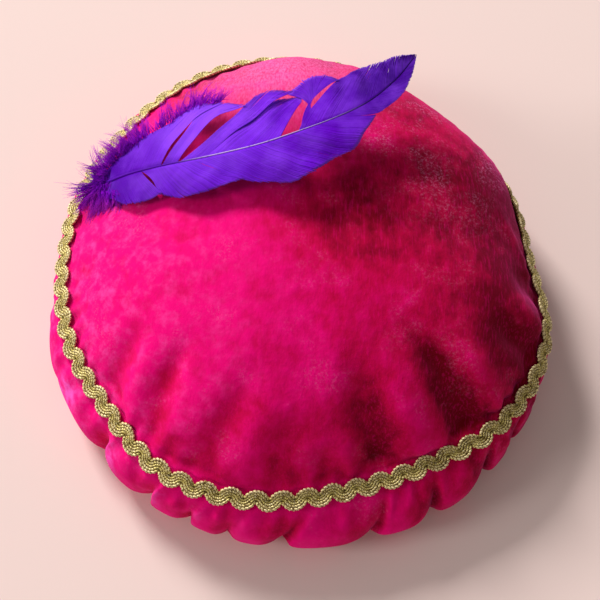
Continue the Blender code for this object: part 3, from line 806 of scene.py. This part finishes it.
cord_steps = BRAID_WAVES * WINDINGS_PER_WAVE * STEPS_PER_WINDING
cords = [
    braid_cord(offset, BRAID_LIFT, radius, sides, cord_steps, BRAID_WAVES * WINDINGS_PER_WAVE)
    for offset, radius, sides in CORDS
]
cores = [
    braid_cord(offset, CORE_LIFT, CORE_RADIUS, CORE_SIDES, BRAID_WAVES * CORE_STEPS, 0)
    for offset in CORE_CORDS
]
braid_faces = []
first = 0
for ring, _ in cords + cores:
    braid_faces.append(ring_walls(ring.shape[0], ring.shape[1], first))
    first = first + ring.shape[0] * ring.shape[1]
braid_points = np.concatenate([ring.reshape(-1, 3) for ring, _ in cords + cores])
braid_marks = np.concatenate(
    [marks.reshape(-1, 2) for _, marks in cords]
    + [marks.reshape(-1, 2) * [1.0, CORE_SHADE] for _, marks in cores]
)
braid_mesh = mesh_of("gimp_braid", braid_points, braid_faces, uv=braid_marks)
piece_of(braid_mesh, gimp("gimp_braid"), "gimp_braid", "braid")

# Feather. One goose feather, dyed purple, is stitched on by its base at the left and sweeps over
# the crown. Its barbs hook together into locks that part here and there, and the locks near the
# base end in loose down.
FEATHER_LENGTH = 210.0
FEATHER_COLUMNS = ("station", "x", "y", "height")
FEATHER = (
    (0.0, -115.0, 40.0, 53.5),
    (0.1, -97.5, 40.5, 65.0),
    (0.2, -79.5, 39.5, 75.0),
    (0.3, -60.8, 38.5, 83.5),
    (0.4, -41.3, 38.8, 90.5),
    (0.5, -21.5, 41.0, 96.0),
    (0.6, -2.0, 46.0, 100.0),
    (0.7, 17.6, 53.0, 102.3),
    (0.8, 35.7, 62.7, 103.3),
    (0.9, 50.6, 76.7, 103.2),
    (1.0, 62.6, 93.8, 102.5),
)
VANE_CLEARANCE = 1.2
VANE_DROOP = 2.6
VANE_CANT = 0.13
VANE_SPREAD = 26.0
BARB_PITCH = 0.62
BARB_STEPS = 14
BARB_THICKNESS = 0.11
BARB_OVERLAP = 1.7
BARB_SHADES = 8
RAGGED_TIP = 0.16
# Where a painted highlight lies on the vane: its centre and reach
SATIN_HIGHLIGHT_PLACE = ((-54, 70, 85), 52)
UP = np.array([0.0, 0.0, 1.0])

# Guide barbs, lock by lock from the base to the tip. root and tip are stations along the quill
# and out is how far the barb's end lies from it; bend is the corner that the barb's curve is
# drawn towards on its way, and lift raises the lock's ends over those beneath
BARB_COLUMNS = ("root", "bend", "bend_out", "tip", "out", "lift")
BACK_LOCKS = (
    (
        (0.008, 0.016, 5.0, 0.032, 8.0, 0.0),
        (0.035, 0.050, 9.0, 0.070, 13.5, 0.0),
        (0.075, 0.095, 14.0, 0.130, 21.5, 0.3),
        (0.120, 0.145, 20.0, 0.205, 27.0, 0.6),
        (0.165, 0.200, 28.0, 0.285, 36.4, 0.8),
        (0.214, 0.262, 30.7, 0.410, 34.8, 1.2),
    ),
    (
        (0.220, 0.294, 28.5, 0.356, 36.0, 0.4),
        (0.245, 0.320, 32.0, 0.440, 31.6, 1.2),
        (0.266, 0.348, 31.0, 0.478, 26.0, 2.6),
    ),
    (
        (0.276, 0.370, 13.0, 0.480, 28.0, 2.0),
        (0.315, 0.430, 21.0, 0.535, 30.8, 2.2),
        (0.350, 0.480, 20.0, 0.630, 25.2, 2.4),
    ),
    (
        (0.330, 0.455, 19.0, 0.585, 24.0, -0.8),
        (0.440, 0.520, 13.0, 0.640, 21.5, -0.6),
        (0.552, 0.588, 9.0, 0.640, 17.2, -0.4),
    ),
    (
        (0.606, 0.702, 10.0, 0.610, 26.6, -0.2),
        (0.607, 0.690, 18.0, 0.672, 30.6, 0.2),
        (0.608, 0.682, 20.0, 0.722, 29.6, 0.4),
        (0.610, 0.655, 24.0, 0.774, 19.6, 0.8),
    ),
    (
        (0.606, 0.680, 19.5, 0.790, 20.8, 0.4),
        (0.690, 0.765, 15.0, 0.868, 19.4, 0.8),
        (0.780, 0.850, 11.0, 0.922, 13.8, 0.9),
        (0.870, 0.905, 7.0, 0.956, 10.4, 0.9),
        (0.988, 0.994, 0.5, 1.000, 0.4, 0.2),
    ),
)
FRONT_LOCKS = (
    (
        (0.004, 0.012, 5.0, 0.026, 8.8, 0.0),
        (0.030, 0.045, 9.0, 0.060, 13.4, 0.0),
        (0.055, 0.075, 12.0, 0.098, 18.8, 0.2),
        (0.090, 0.125, 15.0, 0.152, 21.8, 0.5),
        (0.150, 0.180, 8.6, 0.236, 18.4, 1.0),
    ),
    (
        (0.152, 0.204, 7.5, 0.225, 18.4, 0.0),
        (0.195, 0.240, 14.0, 0.286, 22.9, 0.4),
        (0.235, 0.295, 14.0, 0.345, 23.3, 0.8),
        (0.272, 0.340, 12.0, 0.392, 20.6, 1.0),
        (0.312, 0.385, 11.0, 0.448, 19.6, 1.4),
    ),
    (
        (0.314, 0.395, 11.0, 0.446, 19.2, 0.2),
        (0.360, 0.445, 14.0, 0.502, 24.6, 0.4),
        (0.415, 0.500, 18.0, 0.552, 28.8, 0.8),
        (0.475, 0.555, 17.0, 0.608, 26.4, 1.0),
        (0.535, 0.610, 14.0, 0.664, 22.6, 1.2),
    ),
    (
        (0.537, 0.615, 14.0, 0.666, 22.4, 0.4),
        (0.580, 0.650, 14.0, 0.704, 22.6, 0.6),
        (0.650, 0.700, 9.0, 0.748, 15.6, 0.8),
        (0.715, 0.755, 6.0, 0.792, 9.4, 0.8),
    ),
    (
        (0.717, 0.760, 6.0, 0.802, 9.2, 0.4),
        (0.790, 0.830, 6.0, 0.864, 9.6, 0.6),
        (0.870, 0.900, 4.0, 0.928, 6.2, 0.6),
        (0.988, 0.994, 0.5, 1.000, 0.4, 0.2),
    ),
)


def quill_point(station):
    """The quill's middle line in space."""
    stations = column(FEATHER, FEATHER_COLUMNS, "station")
    places = [column(FEATHER, FEATHER_COLUMNS, name) for name in ("x", "y", "height")]
    return np.stack([smooth(stations, place, station) for place in places], axis=-1)


def quill_side(station):
    """The direction to the quill's left, level with the ground."""
    ahead = quill_point(np.minimum(station + 0.01, 1)) - quill_point(np.maximum(station - 0.01, 0))
    flat = unit(ahead[..., :2])
    return np.stack([-flat[..., 1], flat[..., 0], np.zeros(flat.shape[:-1])], axis=-1)


def quill_radius(station):
    """The shaft is stout at its base, slim from a fifth of its length on, and ends in a hair."""
    return 0.14 + 0.34 * (1 - station) ** 0.8 + 0.55 * np.exp(-((station / 0.12) ** 2))


def vane_point(station, out, lift):
    """A place on the feather: so far along the quill and so far out to its left. The vane droops
    as the square of the way out, its front side is canted up a little, and it never sinks into
    the crown."""
    point = quill_point(station) + quill_side(station) * out[..., None]
    wave = 0.8 * np.sin(31 * station + 0.12 * out) + 0.5 * np.sin(67 * station - 0.21 * out)
    wave = wave * np.clip(np.abs(out) / 14, 0, 1) + VANE_CANT * np.maximum(-out, 0)
    point[..., 2] += lift + wave - VANE_DROOP * (out / VANE_SPREAD) ** 2
    lowest = crown_height(point[..., 0], point[..., 1]) + VANE_CLEARANCE
    point[..., 2] = np.maximum(point[..., 2], lowest)
    return point


def lock_barbs(guides, side, draw):
    """The barbs of one lock. Each is a quadratic curve (1-t)^2 root + 2t(1-t) bend + t^2 tip,
    with its corners read between the guides, and its width is its distance to the next. Some
    barbs stray out, and near the feather's tip some end early. Its marks are its station, and
    its own shade, a whole number, plus the way along it."""
    corners = [column(guides, BARB_COLUMNS, name) for name in BARB_COLUMNS]
    root, _, _, tip, out, _ = corners
    steps = np.hypot(np.diff(tip) * FEATHER_LENGTH, np.diff(out))
    spans = np.maximum(steps, np.diff(root) * FEATHER_LENGTH)
    order = np.concatenate([[0], np.cumsum(spans)])
    count = int(np.ceil(order[-1] / BARB_PITCH))
    f = np.linspace(0, order[-1], count)
    root, bend, bend_out, tip, out, lift = (smooth(order, corner, f)[:, None] for corner in corners)
    stray = draw.exponential(0.010, (count, 1)) * (draw.uniform(0, 1, (count, 1)) > 0.6)
    stray = stray - RAGGED_TIP * draw.uniform(0, 1, (count, 1)) ** 2 * ease(0.86, 0.97, tip)
    tip = tip + draw.normal(0, 0.0006, (count, 1))
    out = out * (1 + draw.normal(0, 0.004, (count, 1)) + stray)
    t = np.linspace(0, 1, BARB_STEPS + 1)[None, :]
    station = (1 - t) ** 2 * root + 2 * t * (1 - t) * bend + t**2 * tip
    away = 0.35 * quill_radius(station) + 2 * t * (1 - t) * bend_out + t**2 * out
    place = vane_point(np.clip(station, 0, 1), away * side, lift * t**1.5 + draw.normal(0, 0.02, (count, 1)))
    beside = np.gradient(place, axis=0)
    ahead = unit(np.gradient(place, axis=1))
    across = unit(np.cross(ahead, UP))
    above = np.cross(across, ahead)
    width = np.abs(np.sum(beside * across, axis=-1)) * BARB_OVERLAP
    width = np.clip(width, 0.25, 2.4) * (1 - 0.5 * ease(0.93, 1.0, t))
    half = (width / 2)[..., None] * across
    thick = BARB_THICKNESS * (1 - 0.6 * t[..., None]) * above
    ring = np.stack([place - half, place + thick, place + half, place - thick], axis=2)
    shade = draw.integers(0, BARB_SHADES, (count, 1))
    marks = np.stack([station, shade + 0.98 * t], axis=-1)
    return ring, np.repeat(marks[:, :, None], 4, axis=2)


def strand_faces(strands, steps, sides):
    """The walls and both ends of many open tubes stored one after another."""
    strand = np.arange(strands)[:, None, None] * steps * sides
    row = strand + np.arange(steps - 1)[None, :, None] * sides
    corner = np.arange(sides)[None, None, :]
    beside = (corner + 1) % sides
    walls = [row + corner, row + beside, row + sides + beside, row + sides + corner]
    walls = np.stack(walls, axis=-1).reshape(-1, 4)
    first = strand[:, 0] + np.arange(sides)[None, ::-1]
    last = strand[:, 0] + (steps - 1) * sides + np.arange(sides)[None, :]
    return [walls, np.concatenate([first, last])]


def dyed_barbs(name):
    """Dyed barbs: blue-violet in the middle of the feather, with soft cloudy tone and a painted satiny
    highlight at the upper left of the vane, darker towards its tip and its base, with each barb a little
    lighter or darker than the next and a paler end."""
    material, tree, shader = material_of(name)
    station, barb = weave_marks(tree)
    ramp = tree.nodes.new("ShaderNodeValToRGB")
    tree.links.new(station, ramp.inputs[0])
    stops = (
        (0.00, (0.060, 0.0004, 0.25)),
        (0.10, (0.110, 0.0006, 0.47)),
        (0.25, (0.180, 0.012, 0.76)),
        (0.45, (0.205, 0.013, 0.86)),
        (0.65, (0.150, 0.0006, 0.66)),
        (0.85, (0.058, 0.0004, 0.30)),
        (1.00, (0.028, 0.0003, 0.15)),
    )
    while len(ramp.color_ramp.elements) < len(stops):
        ramp.color_ramp.elements.new(0.5)
    for element, (position, colour) in zip(ramp.color_ramp.elements, stops):
        element.position = position
        element.color = (*colour, 1.0)
    way = math_node(tree, "FRACT", barb, 0.0)
    shade = times(tree, math_node(tree, "FLOOR", barb, 0.0), 0.6 / BARB_SHADES)
    place = object_place(tree)
    cloudy = window(tree, noise(tree, place, 70, 3), 0.35, 0.72)
    colour = mixed(tree, shade, ramp.outputs[0], (0.085, 0.0010, 0.40))
    # Random cloudy tone plus a painted highlight at the vane's upper left
    cloudy_and_highlight = plus(tree, cloudy, times(tree, near(tree, place, *SATIN_HIGHLIGHT_PLACE), 2.0))
    colour = mixed(tree, times(tree, cloudy_and_highlight, 0.35), colour, (0.30, 0.065, 0.95))
    ends = times(tree, window(tree, way, 0.90, 0.98), 0.35)
    colour = mixed(tree, ends, colour, (0.38, 0.12, 0.95))
    tree.links.new(colour, shader.inputs["Base Color"])
    shader.inputs["Roughness"].default_value = 0.5
    shader.inputs["Specular IOR Level"].default_value = 0.04
    shader.inputs["Sheen Weight"].default_value = 0.05
    shader.inputs["Sheen Roughness"].default_value = 0.4
    shader.inputs["Sheen Tint"].default_value = (0.45, 0.12, 1.0, 1.0)
    return material


def vane(name, locks, side, seed, *nodes):
    """All the barbs on one side of the feather, as one piece."""
    draw = np.random.default_rng(seed)
    made = [lock_barbs(guides, side, draw) for guides in locks]
    points = np.concatenate([ring.reshape(-1, 3) for ring, _ in made])
    marks = np.concatenate([mark.reshape(-1, 2) for _, mark in made])
    faces = strand_faces(sum(len(ring) for ring, _ in made), BARB_STEPS + 1, 4)
    mesh = mesh_of(name, points, faces, uv=marks)
    return piece_of(mesh, dyed_barbs(name), "feather_barbs", *nodes)


vane("feather_barbs_back", BACK_LOCKS, 1.0, 11, "feather_vane_back")
vane("feather_barbs_front", FRONT_LOCKS, -1.0, 12, "feather_vane_front")

# Quill. The horn shaft shows pale lilac along the middle of the feather, where the dye took
# badly, and dark purple at its base and tip. Its base is stitched to the crown.
QUILL_STEPS = 120
QUILL_SIDES = 10
QUILL_LIFT = 0.25

stations = np.linspace(0, 1, QUILL_STEPS)
quill_line = quill_point(stations) + QUILL_LIFT * UP
quill_radii = quill_radius(stations)[:, None] * np.ones(QUILL_SIDES)
quill_rings = tube(quill_line, UP, quill_radii, QUILL_SIDES, closed=False)
quill_marks = np.repeat(np.stack([stations, np.zeros_like(stations)], axis=-1), QUILL_SIDES, axis=0)
quill_walls = strand_faces(1, QUILL_STEPS, QUILL_SIDES)
quill_mesh = mesh_of("feather_quill_shaft", quill_rings.reshape(-1, 3), quill_walls, uv=quill_marks)


def quill_horn(name):
    """Horn that is dark at both ends and pale in between, along the shaft's own length."""
    material, tree, shader = material_of(name)
    station, _ = weave_marks(tree)
    pale = times(tree, window(tree, station, 0.25, 0.40), window(tree, station, 0.82, 0.56))
    fibres = noise(tree, object_place(tree), 700, 2)
    pale = times(tree, pale, window(tree, fibres, 0.1, 0.5))
    dark = mixed(tree, window(tree, station, 0.55, 0.85), (0.10, 0.001, 0.42), (0.030, 0.0004, 0.16))
    colour = mixed(tree, pale, dark, (0.62, 0.42, 0.90))
    tree.links.new(colour, shader.inputs["Base Color"])
    shader.inputs["Roughness"].default_value = 0.45
    shader.inputs["Specular IOR Level"].default_value = 0.08
    return material


piece_of(quill_mesh, quill_horn("quill_horn"), "quill", "feather_quill")

# Down. Locks of fine loose hairs stand round the quill's base, where the feather is stitched on,
# and along the back edge near it, where the barbs don't hook together.
DOWN_STEPS = 8
DOWN_SIDES = 3
HAIR_RADIUS = 0.19
HAIR_CLEARANCE = 0.5
OVER_BRAID = 3.4
DOWN_COLUMNS = (
    "locks", "hairs", "from_station", "to_station", "at_edge",
    "heading", "turning", "spread", "short", "long", "rise", "width", "reddened",
)
DOWN = (
    (80, 13, -0.005, 0.045, 0.0, 232, 46, 22, 12, 24, -0.35, 1.5, 0.50),
    (40, 12, -0.010, 0.045, 0.0, 215, 0, 60, 4, 11, -0.05, 1.5, 0.0),
    (28, 3, -0.010, 0.020, 0.0, 188, 0, 17, 13, 26, -0.15, 0.5, 0.30),
    (26, 11, 0.010, 0.085, -0.75, 258, 44, 14, 7, 15, -0.30, 1.3, 0.60),
    (30, 11, -0.010, 0.045, 0.45, 135, 0, 30, 4, 12, -0.10, 1.3, 0.15),
    (62, 11, 0.000, 0.130, 0.96, 126, -10, 14, 8, 21, -0.20, 1.2, 0.50),
    (88, 9, 0.110, 0.380, 1.0, 116, -50, 11, 8, 24, -0.12, 1.1, 0.85),
)


def down_locks(
    draw, locks, hairs, from_station, to_station, at_edge,
    heading, turning, spread, short, long, rise, width, reddened,
):
    """Locks of hairs that start this share of the way out to the vane's edge. A lock sets off
    along its heading, which turns steadily from the first station to the last, curls sideways and
    rises by its slope; its hairs start a little apart, draw together as 1 - 3t/4 and taper."""
    edge_stations = column(BACK_LOCKS[0], BARB_COLUMNS, "tip")
    edge_out = column(BACK_LOCKS[0], BARB_COLUMNS, "out")
    lock = np.repeat(np.arange(locks), hairs)
    along = draw.uniform(0, 1, locks)
    station = from_station + (to_station - from_station) * along
    edge = np.interp(station, edge_stations, edge_out) * at_edge * draw.uniform(0.94, 1.02, locks)
    start = vane_point(station, edge, 0.2)[lock]
    t = np.linspace(0, 1, DOWN_STEPS)[None, :]
    turn = np.radians(heading + turning * along + draw.normal(0, spread, locks))[lock, None]
    curl = draw.normal(0, 0.45, locks)[lock, None] + draw.normal(0, 0.12, (len(lock), 1))
    length = (short + (long - short) * draw.uniform(0, 1, locks) ** 1.4)[lock, None]
    length = length * draw.uniform(0.6, 1.05, (len(lock), 1))
    apart = draw.normal(0, width, (len(lock), 3)) * [1.0, 1.0, 0.35]
    close = 1 - 0.75 * t
    step = length / DOWN_STEPS
    x = start[:, None, 0] + apart[:, :1] * close + np.cumsum(np.cos(turn + curl * t) * step, axis=1)
    y = start[:, None, 1] + apart[:, 1:2] * close + np.cumsum(np.sin(turn + curl * t) * step, axis=1)
    slope = draw.normal(rise, 0.12, locks)[lock, None] + draw.normal(0, 0.05, (len(lock), 1))
    z = start[:, None, 2] + apart[:, 2:] + slope * t * length
    angle = np.degrees(np.arctan2(y, x))
    over = OVER_BRAID * ease(0.90, 0.97, np.hypot(x, y) / around("radius", angle))
    lowest = crown_height(x, y) + HAIR_CLEARANCE + over
    centres = np.stack([x, y, np.maximum(z, lowest)], axis=-1)
    ahead = unit(np.gradient(centres, axis=1))
    side = unit(np.cross(ahead, UP))
    above = np.cross(side, ahead)
    round_turn = np.linspace(0, 2 * np.pi, DOWN_SIDES, endpoint=False)[None, None, :, None]
    ring = side[:, :, None] * np.cos(round_turn) + above[:, :, None] * np.sin(round_turn)
    size = HAIR_RADIUS * (1 - 0.8 * t)[..., None, None]
    points = centres[:, :, None] + ring * size
    ends = np.broadcast_to(t[..., None], points.shape[:3])
    reds = np.clip(draw.normal(reddened, 0.2, locks)[lock], 0, 1)[:, None, None]
    return points, np.stack([ends, np.broadcast_to(reds, points.shape[:3])], axis=-1)


down_draw = np.random.default_rng(21)
tufts = [down_locks(down_draw, **dict(zip(DOWN_COLUMNS, row))) for row in DOWN]
down_points = np.concatenate([points for points, _ in tufts])
down_marks = np.concatenate([marks for _, marks in tufts])
down_mesh = mesh_of(
    "feather_down_strands",
    down_points.reshape(-1, 3),
    strand_faces(len(down_points), DOWN_STEPS, DOWN_SIDES),
    uv=down_marks.reshape(-1, 2),
)


def down_finish(name):
    """Fluffy down takes the dye darkest at its roots and reddest at its thin ends."""
    material, tree, shader = material_of(name)
    way, red = weave_marks(tree)
    roots = mixed(tree, red, (0.050, 0.0003, 0.22), (0.34, 0.004, 0.74))
    ends = mixed(tree, red, (0.22, 0.002, 0.55), (0.74, 0.035, 0.78))
    colour = mixed(tree, window(tree, way, 0.15, 0.80), roots, ends)
    tree.links.new(colour, shader.inputs["Base Color"])
    shader.inputs["Roughness"].default_value = 0.7
    shader.inputs["Specular IOR Level"].default_value = 0.02
    shader.inputs["Sheen Weight"].default_value = 0.1
    shader.inputs["Sheen Tint"].default_value = (0.8, 0.05, 1.0, 1.0)
    return material


piece_of(down_mesh, down_finish("feather_down"), "down", "feather_down")
